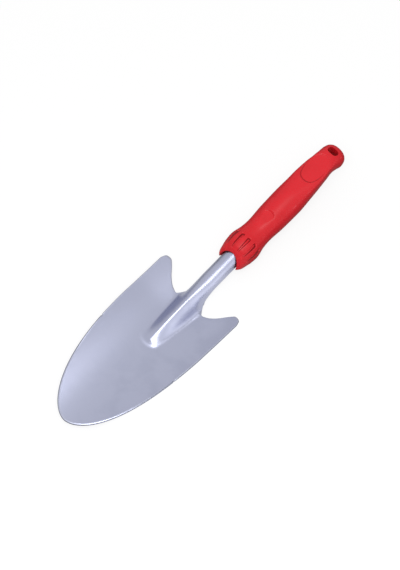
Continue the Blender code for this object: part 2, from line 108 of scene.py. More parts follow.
# Handle, measured along its axis from the two points of its mouth
MOUTH_FROM_NECK = 45.52 * MM
SOCKET_GAP = 0.3 * MM
SOCKET_SPARE = 1.0 * MM
MOUTH_RECESS = 7.1 * MM
MOUTH_ARCH = 1.15
MOUTH_LIP = (                   # how the socket widens into the mouth: depth, radius
    (60.0 * MM, 8.0 * MM),
    (40.0 * MM, 8.0 * MM),
    (18.0 * MM, 8.0 * MM),
    (3.6 * MM, 8.0 * MM),
    (2.8 * MM, 8.1 * MM),
    (1.4 * MM, 8.55 * MM),
    (0.5 * MM, 8.8 * MM),
    (0.1 * MM, 9.0 * MM),
)
MOUTH_BLEND = 16.0 * MM
HANDLE_PROFILE = (              # distance, half width, widest at, top, underside, squareness of the top
    (0.0 * MM, 9.2 * MM, 0.0 * MM, 9.2 * MM, -9.2 * MM, 2.0),
    (0.8 * MM, 10.1 * MM, 0.0 * MM, 10.1 * MM, -10.1 * MM, 2.0),
    (3.2 * MM, 11.8 * MM, 0.0 * MM, 11.8 * MM, -11.8 * MM, 2.0),
    (7.4 * MM, 12.9 * MM, 0.0 * MM, 12.9 * MM, -12.9 * MM, 2.0),
    (13.2 * MM, 14.0 * MM, 0.0 * MM, 14.0 * MM, -14.0 * MM, 2.0),
    (19.5 * MM, 14.5 * MM, 0.0 * MM, 14.5 * MM, -14.33 * MM, 2.0),
    (23.2 * MM, 14.1 * MM, 0.0 * MM, 14.1 * MM, -14.1 * MM, 2.0),
    (29.0 * MM, 12.7 * MM, 0.0 * MM, 12.7 * MM, -12.8 * MM, 2.0),
    (37.0 * MM, 12.0 * MM, 0.0 * MM, 12.0 * MM, -12.2 * MM, 2.0),
    (54.0 * MM, 13.0 * MM, 0.0 * MM, 13.0 * MM, -13.1 * MM, 2.0),
    (72.0 * MM, 13.3 * MM, 0.3 * MM, 13.1 * MM, -13.3 * MM, 2.0),
    (85.0 * MM, 12.5 * MM, 0.9 * MM, 12.1 * MM, -12.6 * MM, 2.6),
    (95.0 * MM, 11.9 * MM, 1.9 * MM, 11.0 * MM, -11.3 * MM, 3.8),
    (107.0 * MM, 10.9 * MM, 3.0 * MM, 10.3 * MM, -9.8 * MM, 4.2),
    (114.6 * MM, 10.0 * MM, 2.6 * MM, 9.9 * MM, -9.0 * MM, 4.0),
    (119.0 * MM, 10.1 * MM, 0.3 * MM, 9.6 * MM, -10.0 * MM, 3.2),
    (124.5 * MM, 10.8 * MM, -2.0 * MM, 8.9 * MM, -12.0 * MM, 2.2),
    (129.0 * MM, 9.9 * MM, -2.2 * MM, 7.7 * MM, -11.3 * MM, 2.0),
    (132.8 * MM, 6.6 * MM, -2.2 * MM, 4.4 * MM, -8.4 * MM, 2.0),
    (134.4 * MM, 1.2 * MM, -2.2 * MM, -1.0 * MM, -3.4 * MM, 2.0),
)
FLUTE_COUNT = 13
FLUTE_FROM = 10.0 * MM
FLUTE_TO = 25.2 * MM
FLUTE_WIDTH = 3.1 * MM
FLUTE_TAPER = 0.42
FLUTE_DEPTH = 2.1 * MM
FLUTE_FRONT_DEPTH = 0.5 * MM
FLUTE_COLUMNS = (0.0, 0.40, 0.78, 1.0, 1.15, 1.5)   # of half its width, from its middle outwards
FLUTE_END_WALL = 0.7 * MM
THUMB_FROM = 34.0 * MM
THUMB_TO = 53.2 * MM
THUMB_WIDTH = 15.0 * MM
THUMB_DEPTH = 1.4 * MM
THUMB_WALL = 1.3                # how steep a recess's wall is, as rise over run
THUMB_SOFTNESS = 0.35 * MM      # how round its upper edge is
PAD_CENTRE = 105.8 * MM
PAD_LENGTH = 27.6 * MM
PAD_WIDTH = 17.2 * MM
PAD_SQUARENESS = 2.5
PAD_FLOOR = 9.3 * MM
PAD_TILT = math.radians(2.6)
PAD_WALL = 1.4
PAD_SOFTNESS = 0.25 * MM
HOLE_CENTRE = 127.0 * MM
HOLE_ACROSS = 10.8 * MM
HOLE_ALONG = 6.4 * MM
HOLE_ROUNDING = 1.0 * MM
HOLE_INSET = 0.6 * MM           # its wall stands in from the rounded rims by this
HOLE_LENGTH = 20.0 * MM
LAND_HEIGHT = 8.0 * MM
LAND_RADIUS = 8.2 * MM
LAND_TILT = math.radians(12.0)
LAND_WALL = 2.0
LAND_SOFTNESS = 0.6 * MM
CUTTER_REACH = 5.0 * MM
CUTTER_SPREAD = 0.3             # how much it widens outside the piece, as run over reach

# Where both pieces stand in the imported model's frame
TIP = Vector((0.0, -0.159786, -0.001122))
AXIS_START = Vector((0.0, 0.026156, 0.012070))     # the middle of the handle's mouth

# Mesh fineness
RIM_RINGS = 1                   # mesh rings across the ground edge
NOTCH_EDGE_REACH = 3.0 * MM     # the notch's cut edge is softened this far round its corner
NOTCH_REACH = 8.0 * MM          # and the sheet's face this far
NOTCH_EDGE_STEPS = 6
NOTCH_STEPS = 24
STRIP_CELLS = 30
STRIP_CROWDING = 1.15           # 1 is even, more is finer towards the crest
WING_CELLS = 28
FRONT_ROWS = 46
DRAW_IN_REACH = 22.0 * MM       # the rows give way to the ground edge this far in from the outline
OUTLINE_UNTIL = 130.0 * MM      # the outline is sampled from the tip to here
OUTLINE_SAMPLES = 1500
PLAIN_ROWS = 4                  # between the front rows and the nose
PLAIN_ROW_SPACING = 1.9 * MM
NOSE_ROWS = 20
RIB_ROWS = 40
ROLL_RINGS = 26
ROLL_CROWDING = 1.6             # 1 is even, more is finer towards the neck
TAIL_RINGS = 12
MERGE_DISTANCE = 0.001 * MM
HANDLE_SIDES = 156              # twelve for each flute and its land
HANDLE_STRETCHES = (            # distance that each stretch runs to, and its rings
    (0.8 * MM, 3),
    (27.0 * MM, 36),
    (33.0 * MM, 5),
    (55.0 * MM, 27),
    (91.0 * MM, 15),
    (121.0 * MM, 36),
    (130.0 * MM, 12),
    (134.4 * MM, 8),
)
FLUTE_SPREAD_FRONT = (5.0 * MM, 1.0 * MM)   # columns close in on the flute from here to here before it
FLUTE_SPREAD_REAR = (1.0 * MM, 7.0 * MM)    # and spread again from here to here behind it
HOLE_SIDES = 64
HOLE_ROUNDING_STEPS = 6

# Painted shade in the creases of the handle, which its material darkens: how much, and where
MOUTH_SHADE = 0.7
MOUTH_SHADE_RADIUS = 9.45 * MM
MOUTH_SHADE_DEPTH = 6.0 * MM
FLUTE_SHADE_RADIUS = 9.5 * MM   # nothing nearer the axis is a flute
FLUTE_SHADE_AT = 0.86           # middle of the line along a flute's wall, as a share of its half width
FLUTE_SHADE_WIDTH = 0.42        # and the line's width, as such a share
FLUTE_SHADE_MARGIN = 1.0 * MM
FLUTE_SHADE_FADE = 3.0 * MM
PAD_SHADE = 0.6
PAD_SHADE_WIDTH = 0.7 * MM
PAD_SHADE_FADE = (-7.0 * MM, 5.0 * MM)      # from the pad's centre
HOLE_SHADE = 0.35
HOLE_SHADE_MARGIN = 0.2 * MM


def smoothstep(value, low, high):
    t = min(1.0, max(0.0, (value - low) / (high - low)))
    return t * t * (3.0 - 2.0 * t)


def mix(a, b, t):
    return a + (b - a) * t


def through(knots, at):
    """Values at a distance along a smooth curve through rows of (distance, value, value...)."""
    at = min(max(at, knots[0][0]), knots[-1][0])
    i = 0
    while i < len(knots) - 2 and knots[i + 1][0] < at:
        i += 1
    span = knots[i + 1][0] - knots[i][0]
    t = (at - knots[i][0]) / span
    values = []
    for column in range(1, len(knots[0])):
        slopes = [knot_slope(knots, k, column) * span for k in (i, i + 1)]
        start = knots[i][column]
        end = knots[i + 1][column]
        values.append(
            start * (2 * t**3 - 3 * t**2 + 1)
            + slopes[0] * (t**3 - 2 * t**2 + t)
            + end * (3 * t**2 - 2 * t**3)
            + slopes[1] * (t**3 - t**2)
        )
    return values


def knot_slope(knots, k, column):
    """Slope at a knot that never overshoots its neighbours."""
    if k == 0 or k == len(knots) - 1:
        a, b = (0, 1) if k == 0 else (k - 1, k)
        return (knots[b][column] - knots[a][column]) / (knots[b][0] - knots[a][0])
    before = (knots[k][column] - knots[k - 1][column]) / (knots[k][0] - knots[k - 1][0])
    after = (knots[k + 1][column] - knots[k][column]) / (knots[k + 1][0] - knots[k][0])
    if before * after <= 0.0:
        return 0.0
    return 2.0 * before * after / (before + after)


# Working at the mesh, as by hand

def clear_selection():
    if bpy.context.object and bpy.context.object.mode != "OBJECT":
        bpy.ops.object.mode_set(mode="OBJECT")
    bpy.ops.object.select_all(action="DESELECT")


def take_up(obj):
    clear_selection()
    obj.select_set(True)
    bpy.context.view_layer.objects.active = obj


def new_primitive(name):
    obj = bpy.context.object
    obj.name = name
    obj.data.name = name
    return obj


def edit(obj, select_mode="VERT"):
    take_up(obj)
    bpy.ops.object.mode_set(mode="EDIT")
    bpy.ops.mesh.select_mode(type=select_mode)
    bpy.ops.mesh.select_all(action="DESELECT")
    return bmesh.from_edit_mesh(obj.data)


def select_verts(obj, indices):
    bm = bmesh.from_edit_mesh(obj.data)
    bm.verts.ensure_lookup_table()
    for v in bm.verts:
        v.select = False
    for i in indices:
        bm.verts[i].select = True
    bm.select_mode = {"VERT"}
    bm.select_flush(True)
    bmesh.update_edit_mesh(obj.data)


def extrude_row(obj, row, points):
    """Extrude a row of vertices once, and set the new row on its points. Returns the new row."""
    select_verts(obj, row)
    bpy.ops.mesh.extrude_region_move()
    bm = bmesh.from_edit_mesh(obj.data)
    bm.verts.ensure_lookup_table()
    new_row = []
    for i, point in zip(row, points):
        old = bm.verts[i]
        new = next(e.other_vert(old) for e in old.link_edges if e.other_vert(old).select)
        new.co = point
        new_row.append(new.index)
    bmesh.update_edit_mesh(obj.data)
    return new_row


def apply_modifier(obj, kind, **settings):
    take_up(obj)
    modifier = obj.modifiers.new(kind.lower(), kind)
    for key, value in settings.items():
        setattr(modifier, key, value)
    bpy.ops.object.modifier_apply(modifier=modifier.name)


def apply_place(obj):
    take_up(obj)
    bpy.ops.object.transform_apply(location=True, rotation=True, scale=True)


def cut(target, cutter):
    apply_modifier(target, "BOOLEAN", operation="DIFFERENCE", object=cutter, solver="EXACT")
    bpy.data.objects.remove(cutter, do_unlink=True)


# Blade

def half_width(y):
    if y >= FULL_WIDTH_AT:
        return BLADE_HALF_WIDTH
    t = 1.0 - y / FULL_WIDTH_AT
    return BLADE_HALF_WIDTH * (1.0 - t**OUTLINE_SWELL) ** TIP_BLUNTNESS


def outline_y(x):
    swell = (x / BLADE_HALF_WIDTH) ** (1.0 / TIP_BLUNTNESS)
    return FULL_WIDTH_AT * (1.0 - (1.0 - swell) ** (1.0 / OUTLINE_SWELL))


def spine(y):
    ahead = HEEL_AT - y
    return math.tan(TIP_RISE) * 0.5 * (ahead + math.hypot(ahead, HEEL_SOFTNESS))


def crest(y):
    ahead = NECK_AT - y
    return NECK_AXIS + SHANK_RADIUS - math.tan(SHANK_RISE) * ahead - CREST_BEND * ahead**2


def rib_height(y):
    return crest(y) - SHEET - spine(y)


def rib_half_width(y):
    along = (y - NOSE_AT - NOSE_LENGTH) / (NECK_AT - NOSE_AT - NOSE_LENGTH)
    return mix(RIB_HALF_WIDTH_AT_NOSE, NOTCH_HALF_WIDTH, along)


def rib_section(height, half):
    """Heights of the rib from its crest out to its foot, at even steps, for the slopes given above."""
    low, high = 0.0, RIB_STEEPEST
    for _ in range(RIB_TRIES):
        steepest = 0.5 * (low + high)
        drops = [math.tan(steepest * share) * half / RIB_SAMPLES for share in slope_shares]
        if sum(drops) < height:
            low = steepest
        else:
            high = steepest
    heights = [height]
    for drop in drops:
        heights.append(heights[-1] - drop)
    return heights


slope_shares = [through(RIB_SLOPE, (i + 0.5) / RIB_SAMPLES)[0] for i in range(RIB_SAMPLES)]
rib_sections = {}


def rib(x, y):
    """Height of the rib above the blade that it is pressed out of. Its nose is round in plan too."""
    nose_centre = NOSE_AT + NOSE_LENGTH
    full_y = min(y, NECK_AT)
    if full_y <= NOSE_AT:
        return 0.0
    half = rib_half_width(full_y)
    share = abs(x) / half
    if full_y < nose_centre:
        share = math.hypot(share, (nose_centre - full_y) / NOSE_LENGTH)
    if share >= 1.0:
        return 0.0
    key = round(full_y, 7)
    if key not in rib_sections:
        rib_sections[key] = rib_section(max(0.0, rib_height(full_y)), half)
    heights = rib_sections[key]
    step = share * RIB_SAMPLES
    return mix(heights[int(step)], heights[int(step) + 1], step - int(step))


def blade_top(x, y):
    return SHEET + spine(y) + x * x / (2.0 * DISH_RADIUS) + rib(x, y)


def cell_fractions():
    """Where the columns lie across the blade: the rolled strip along the middle, then the wing."""
    border = NOTCH_HALF_WIDTH / BLADE_HALF_WIDTH
    strip = [border * (i / STRIP_CELLS) ** STRIP_CROWDING for i in range(STRIP_CELLS + 1)]
    wing = [mix(border, 1.0, i / WING_CELLS) for i in range(1, WING_CELLS + 1)]
    right = strip + wing
    return [-f for f in reversed(right[1:])] + right


def front_rows(fractions):
    """Rows that start as the rounded front of the outline and straighten towards the rib."""
    reach = half_width(FRONT_ROWS_REACH)
    rows = []
    for step in [i / FRONT_ROWS for i in range(FRONT_ROWS + 1)]:
        middle = FRONT_ROWS_UNTIL * step
        edge = mix(FRONT_ROWS_REACH, FRONT_ROWS_UNTIL, step)
        row = []
        for c in fractions:
            bow = outline_y(abs(c) * reach) / FRONT_ROWS_REACH
            row.append((c * half_width(edge), mix(middle, edge, bow)))
        rows.append(row)
    return rows


def lobe_edge(f):
    """A point on the rear edge, from the notch (f = 0) round the lobe to the outer edge (f = 1)."""
    lengths = [0.0]
    for a, b in zip(LOBE_EDGE, LOBE_EDGE[1:]):
        lengths.append(lengths[-1] + math.dist(a, b))
    knots = [(length, *point) for length, point in zip(lengths, LOBE_EDGE)]
    return through(knots, f * lengths[-1])


def rear_rows(fractions):
    """Rows from there to the neck, whose wings lean back until they follow the lobes' edge."""
    ys = [FRONT_ROWS_UNTIL + PLAIN_ROW_SPACING * i for i in range(1, PLAIN_ROWS)]
    ys.append(0.5 * (ys[-1] + NOSE_AT))
    ys += [NOSE_AT + NOSE_LENGTH * i / NOSE_ROWS for i in range(NOSE_ROWS + 1)]
    ys += [mix(NOSE_AT + NOSE_LENGTH, NECK_AT, i / RIB_ROWS) for i in range(1, RIB_ROWS + 1)]
    border = NOTCH_HALF_WIDTH / BLADE_HALF_WIDTH
    rows = []
    for y in ys:
        lean = max(0.0, (y - LOBE_ROWS_FROM) / (NECK_AT - LOBE_ROWS_FROM))
        row = []
        for c in fractions:
            if lean == 0.0:
                row.append((c * half_width(y), y))
                continue
            strip_edge = mix(border * half_width(LOBE_ROWS_FROM), NOTCH_HALF_WIDTH, lean)
            if abs(c) <= border + 1e-9:
                row.append((c / border * strip_edge, y))
                continue
            end_x, end_y = lobe_edge((abs(c) - border) / (1.0 - border))
            x = mix(abs(c) * half_width(LOBE_ROWS_FROM), end_x, lean)
            row.append((math.copysign(x, c), mix(LOBE_ROWS_FROM, end_y, lean)))
        rows.append(row)
    return rows


def band_width(y):
    """Width of the band round the front that is ground. It ends where the front rows do."""
    if y > FRONT_ROWS_UNTIL - 0.01 * MM:
        return 0.0
    return GROUND_EDGE * mix(1.0, GROUND_NARROWED, smoothstep(y, GROUND_UNTIL, FRONT_ROWS_UNTIL))


def draw_in(plan):
    """Draw the front of the layout in from the outline, to leave room for the ground band."""
    ys = [OUTLINE_UNTIL * (i / OUTLINE_SAMPLES) ** 2 for i in range(OUTLINE_SAMPLES + 1)]
    outline = [Vector((half_width(y), y, 0.0)) for y in ys]
    tree = KDTree(len(outline))
    for k, point in enumerate(outline):
        tree.insert(point, k)
    tree.balance()
    for row in plan:
        for i, (x, y) in enumerate(row):
            _, k, distance = tree.find((abs(x), y, 0.0))
            before = outline[k - 1] if k else Vector((-outline[1].x, outline[1].y, 0.0))
            along = (outline[min(k + 1, OUTLINE_SAMPLES)] - before).normalized()
            step = band_width(outline[k].y) * (1.0 - smoothstep(distance, 0.0, DRAW_IN_REACH))
            row[i] = (x - math.copysign(along.y * step, x) * (x != 0.0), y + along.x * step)


def shank_points(profile, distance):
    """The neck's profile at a distance up the shank, where it has rolled up into a round tube."""
    seam_angle = 0.5 * SEAM_GAP / SHANK_RADIUS
    rolled = min(1.0, distance / ROLL_LENGTH)
    rolled += ROLL_LEAD * 4.0 * rolled * (1.0 - rolled) ** 2
    lean = SHANK_RISE * min(1.0, distance / ROLL_LENGTH)
    origin = Vector((0.0, NECK_AT, NECK_AXIS))
    origin += distance * Vector((0.0, math.cos(SHANK_RISE), math.sin(SHANK_RISE)))
    up = Vector((0.0, -math.sin(lean), math.cos(lean)))
    points = []
    for x, z in profile:
        angle = x / NOTCH_HALF_WIDTH * (math.pi - seam_angle)
        across = mix(x, SHANK_RADIUS * math.sin(angle), rolled)
        rise = mix(z, SHANK_RADIUS * math.cos(angle), rolled)
        points.append(origin + Vector((across, 0.0, 0.0)) + up * rise)
    return points


def make_blade():
    """One sheet: a flat blank is laid out, pressed over its die, rolled up at the neck, then ground."""
    fractions = cell_fractions()
    full = front_rows(fractions) + rear_rows(fractions)
    plan = [list(row) for row in full]
    draw_in(plan)
    columns = len(fractions)

    clear_selection()
    bpy.ops.mesh.primitive_grid_add(x_subdivisions=columns - 1, y_subdivisions=len(plan) - 1, size=1.0)
    blade = new_primitive("blade_sheet")
    order = sorted(range(len(blade.data.vertices)), key=lambda k: grid_place(blade, k))
    for k, (x, y) in zip(order, [point for row in plan for point in row]):
        blade.data.vertices[k].co = (x, y, blade_top(x, y))

    first = len(order) - columns + (columns - 1) // 2 - STRIP_CELLS
    neck = order[first:first + 2 * STRIP_CELLS + 1]
    points = [blade.data.vertices[k].co for k in neck]
    profile = [(point.x, point.z - NECK_AXIS) for point in points]
    distances = [ROLL_LENGTH * (i / ROLL_RINGS) ** ROLL_CROWDING for i in range(1, ROLL_RINGS + 1)]
    tail_end = MOUTH_FROM_NECK + TAIL_DEPTH
    distances += [mix(ROLL_LENGTH, tail_end, i / TAIL_RINGS) for i in range(1, TAIL_RINGS + 1)]
    edit(blade)
    for distance in distances:
        neck = extrude_row(blade, neck, shank_points(profile, distance))
    soften_the_notches(blade)
    widen_the_front(blade, order, full, columns)
    bpy.ops.object.mode_set(mode="OBJECT")

    blade.data.materials.append(satin_steel)
    blade.data.materials.append(satin_steel)
    upper = len(blade.data.vertices)
    apply_modifier(blade, "SOLIDIFY", thickness=SHEET, offset=-1.0, material_offset_rim=1)
    grind_the_edge(blade, upper)
    round_the_rim(blade)
    mark_the_painted_wall_shade(blade)
    blade.data.materials.pop(index=1)
    blade.location = TIP
    apply_place(blade)
    return blade


def soften_the_notches(blade):
    """Round the corner of each notch, where the lobe's edge turns into the shank's, and its dents."""
    bm = bmesh.from_edit_mesh(blade.data)
    for side in (-1.0, 1.0):
        corner = Vector((side * NOTCH_HALF_WIDTH, NECK_AT, blade_top(NOTCH_HALF_WIDTH, NECK_AT)))
        pulls = {}
        for v in bm.verts:
            away = (v.co - corner).length
            reach = NOTCH_EDGE_REACH if v.is_boundary else NOTCH_REACH
            if away < reach:
                pulls[v] = 0.5 * (1.0 - away / reach)
        for step in range(NOTCH_STEPS):
            moved = {}
            for v, pull in pulls.items():
                if v.is_boundary and step >= NOTCH_EDGE_STEPS:
                    continue
                beside = [e.other_vert(v).co for e in v.link_edges if e.is_boundary == v.is_boundary]
                moved[v] = v.co.lerp(sum(beside, Vector()) / len(beside), pull)
            for v, co in moved.items():
                v.co = co
    bmesh.update_edit_mesh(blade.data)


def grid_place(obj, k):
    co = obj.data.vertices[k].co
    return round(co.y, 5), co.x


def widen_the_front(blade, order, full, columns):
    """Extrude the front of the outline outwards, in rings that end at a point on either side."""
    rows = range(FRONT_ROWS, 0, -1)
    places = [(j, 0) for j in rows] + [(0, i) for i in range(columns)]
    places += [(j, columns - 1) for j in reversed(rows)]
    path = [order[j * columns + i] for j, i in places]
    bm = bmesh.from_edit_mesh(blade.data)
    bm.verts.ensure_lookup_table()
    inner = [bm.verts[k].co.copy() for k in path]
    ground = bm.verts.layers.float.new("ground")
    crease = bm.verts.layers.float.new("crease")
    bm.verts.ensure_lookup_table()
    for k in path:
        bm.verts[k][crease] = 1.0
    for ring in range(1, RIM_RINGS + 1):
        share = ring / RIM_RINGS
        targets = []
        for start, (j, i) in zip(inner, places):
            x = mix(start.x, full[j][i][0], share)
            y = mix(start.y, full[j][i][1], share)
            targets.append((x, y, blade_top(x, y)))
        path = extrude_row(blade, path, targets)
        bm = bmesh.from_edit_mesh(blade.data)
        bm.verts.ensure_lookup_table()
        for k in path:
            bm.verts[k][bm.verts.layers.float["ground"]] = share
            bm.verts[k][bm.verts.layers.float["crease"]] = 0.0
    bpy.ops.mesh.select_all(action="SELECT")
    bpy.ops.mesh.remove_doubles(threshold=MERGE_DISTANCE)
    bpy.ops.mesh.normals_make_consistent(inside=False)
    face_upwards(blade)


def face_upwards(blade):
    """The open sheet's upper face is its outside, so that its wall grows downwards."""
    bm = bmesh.from_edit_mesh(blade.data)
    lowest = min(bm.faces, key=lambda face: face.calc_center_median().y)
    if lowest.normal.z < 0.0:
        bpy.ops.mesh.select_all(action="SELECT")
        bpy.ops.mesh.flip_normals()


def grind_the_edge(blade, upper):
    """Lower the rings of the upper face into one flat facet, with a sharp line where it starts."""
    bm = edit(blade)
    bm.verts.ensure_lookup_table()
    ground = bm.verts.layers.float["ground"]
    crease = bm.verts.layers.float["crease"]
    line = set()
    for vert in bm.verts:
        if vert.index >= upper:
            continue
        depth = 1.0 - smoothstep(vert.co.y, GROUND_UNTIL - GROUND_FADE, GROUND_UNTIL)
        vert.co.z -= GROUND_DEPTH * depth * vert[ground]
        if vert[crease] > 0.5 and depth > 0.0:
            line.add(vert)
    for edge in bm.edges:
        if edge.verts[0] in line and edge.verts[1] in line:
            edge.smooth = False
    bmesh.update_edit_mesh(blade.data)
    bpy.ops.object.mode_set(mode="OBJECT")


def round_the_rim(blade):
    """Break the sheared edges all round the sheet."""
    bm = edit(blade, "EDGE")
    for edge in bm.edges:
        rim = [face.material_index for face in edge.link_faces]
        edge.select = sorted(rim) == [0, 1]
    bmesh.update_edit_mesh(blade.data)
    bpy.ops.mesh.bevel(offset=RIM_ROUNDING, segments=2, affect="EDGES")
    bm = bmesh.from_edit_mesh(blade.data)
    # the front's broken edges join the wall in the second slot, whose faces get painted shade
    for face in bm.faces:
        if face.select and face.calc_center_median().y < FRONT_ROWS_UNTIL:
            face.material_index = 1
    bmesh.update_edit_mesh(blade.data)
    bpy.ops.object.mode_set(mode="OBJECT")
    take_up(blade)
    bpy.ops.object.shade_smooth_by_angle(angle=math.radians(50), keep_sharp_edges=True)


def mark_the_painted_wall_shade(blade):
    """Write which faces the material darkens with painted shade: the sheet's wall, and its broken edges at
    the front.
    """
    marks = blade.data.attributes.new("wall_painted_shade", "FLOAT", "FACE")
    for face in blade.data.polygons:
        marks.data[face.index].value = float(face.material_index == 1)


# Handle, made along +Y from the points of its mouth

def handle_section(at, angle):
    half, widest_at, top, underside, top_squareness = through(HANDLE_PROFILE, at)
    side = math.cos(angle)
    rise = math.sin(angle)
    power = 2.0 / top_squareness if rise > 0.0 else 1.0
    reach = top - widest_at if rise > 0.0 else widest_at - underside
    x = half * math.copysign(abs(side) ** power, side)
    z = widest_at + reach * math.copysign(abs(rise) ** power, rise)
    return x, z


def mouth_setback(at, angle):
    return MOUTH_RECESS * abs(math.sin(angle)) ** MOUTH_ARCH * (1.0 - smoothstep(at, 0.0, MOUTH_BLEND))


def handle_stations():
    ats = [0.0]
    start = 0.0
    for end, count in HANDLE_STRETCHES:
        ats += [mix(start, end, i / count) for i in range(1, count + 1)]
        start = end
    return ats


def flute_half_width(y):
    share = min(1.0, max(0.0, (y - FLUTE_FROM) / (FLUTE_TO - FLUTE_FROM)))
    return 0.5 * FLUTE_WIDTH * mix(FLUTE_TAPER, 1.0, share)


def flute_column(step, even_angle, y, radius):
    """Where a column stands across its flute, and how deep the flute is there."""
    pitch = 2.0 * math.pi / FLUTE_COUNT
    place = min(abs(step), len(FLUTE_COLUMNS))
    if place == len(FLUTE_COLUMNS):
        return even_angle, 0.0
    share = FLUTE_COLUMNS[place]
    half = flute_half_width(y)
    angle = math.copysign(share * half / radius, step)
    far, close = FLUTE_SPREAD_FRONT
    along_flute = smoothstep(y, FLUTE_FROM - far, FLUTE_FROM - close)
    close, far = FLUTE_SPREAD_REAR
    along_flute *= 1.0 - smoothstep(y, FLUTE_TO + close, FLUTE_TO + far)
    even = step * pitch / (2 * len(FLUTE_COLUMNS))
    turn = even_angle + along_flute * (angle - even)
    if share >= 1.0 or y < FLUTE_FROM:
        return turn, 0.0
    end = FLUTE_TO - half * (1.0 - math.sqrt(1.0 - share**2)) - FLUTE_END_WALL
    run = min(1.0, (y - FLUTE_FROM) / (FLUTE_TO - FLUTE_FROM))
    depth = mix(FLUTE_FRONT_DEPTH, FLUTE_DEPTH, run)
    return turn, depth * (1.0 - smoothstep(y, end, end + FLUTE_END_WALL))


def handle_blank():
    """A ring extruded out of the socket, round the mouth and back to the rear end, with the flutes."""
    socket = SHANK_RADIUS + SOCKET_GAP
    clear_selection()
    bpy.ops.mesh.primitive_circle_add(
        vertices=HANDLE_SIDES, radius=socket, fill_type="NOTHING",
        location=(0.0, TAIL_DEPTH + SOCKET_SPARE, 0.0), rotation=(math.pi / 2, 0.0, 0.0),
    )
    handle = new_primitive("handle_moulding")
    apply_place(handle)
    points = [v.co for v in handle.data.vertices]
    ring = sorted(range(HANDLE_SIDES), key=lambda k: math.atan2(points[k].z, points[k].x))
    angles = [-math.pi + 2.0 * math.pi * k / HANDLE_SIDES for k in range(HANDLE_SIDES)]
    for k, t in zip(ring, angles):
        points[k].x = socket * math.cos(t)
        points[k].z = socket * math.sin(t)
    per_flute = HANDLE_SIDES // FLUTE_COUNT
    first_flute = 0.5 * math.pi + math.pi / FLUTE_COUNT
    middle = min(range(HANDLE_SIDES), key=lambda k: abs(angles[k] - first_flute))
    steps = [(k - middle + per_flute // 2) % per_flute - per_flute // 2 for k in range(HANDLE_SIDES)]
    edit(handle)
    for depth, radius in MOUTH_LIP:
        targets = []
        for t in angles:
            arch = mouth_setback(0.0, t) * (1.0 - smoothstep(depth, 0.0, MOUTH_BLEND))
            targets.append((radius * math.cos(t), depth + arch, radius * math.sin(t)))
        ring = extrude_row(handle, ring, targets)
    for at in handle_stations():
        targets = []
        for t, step in zip(angles, steps):
            y = at + mouth_setback(at, t)
            x, z = handle_section(at, t)
            turn, depth = flute_column(step, t, y, math.hypot(x, z))
            x, z = handle_section(at, turn)
            sunk = 1.0 - depth / math.hypot(x, z)
            targets.append((x * sunk, y, z * sunk))
        ring = extrude_row(handle, ring, targets)
    bpy.ops.mesh.select_all(action="DESELECT")
    bpy.ops.mesh.select_non_manifold(extend=False)
    bpy.ops.mesh.fill_holes(sides=0)
    bpy.ops.mesh.select_all(action="SELECT")
    bpy.ops.mesh.normals_make_consistent(inside=False)
    bpy.ops.object.mode_set(mode="OBJECT")
    return handle


def soft_min(a, b, softness):
    """The lower of two heights, with a rounded change from one to the other."""
    h = min(1.0, max(0.0, 0.5 + 0.5 * (b - a) / softness))
    return mix(b, a, h) - softness * h * (1.0 - h)


def slot_distance(x, y, start, end, width_at):
    """Distance outside a round-ended slot that runs along y. It is negative inside."""
    low = start + 0.5 * width_at(start)
    high = end - 0.5 * width_at(end)
    beyond = max(low - y, 0.0, y - high)
    return math.hypot(x, beyond) - 0.5 * width_at(min(max(y, start), end))


def carved_by_thumb_rest(x, y, z):
    front = through(HANDLE_PROFILE, THUMB_FROM)[2]
    rear = through(HANDLE_PROFILE, THUMB_TO)[2] - THUMB_DEPTH
    outside = slot_distance(x, y, THUMB_FROM, THUMB_TO, lambda at: THUMB_WIDTH)
    floor = mix(front, rear, min(1.0, max(0.0, (y - THUMB_FROM) / (THUMB_TO - THUMB_FROM))))
    return soft_min(z, floor + max(0.0, outside) * THUMB_WALL, THUMB_SOFTNESS)


def carved_by_pad(x, y, z):
    floor = PAD_FLOOR - math.tan(PAD_TILT) * (y - PAD_CENTRE)
    return soft_min(z, floor + max(0.0, pad_distance(x, y)) * PAD_WALL, PAD_SOFTNESS)


def carved_by_land(x, y, z):
    along = y - HOLE_CENTRE
    outside = math.hypot(x, along) - LAND_RADIUS
    floor = LAND_HEIGHT - math.tan(LAND_TILT) * along
    return soft_min(z, floor + max(0.0, outside) * LAND_WALL, LAND_SOFTNESS)


def near(distance, width):
    """1 on a line, fading to 0 at this distance from it."""
    return 1.0 - smoothstep(abs(distance), 0.25 * width, width)


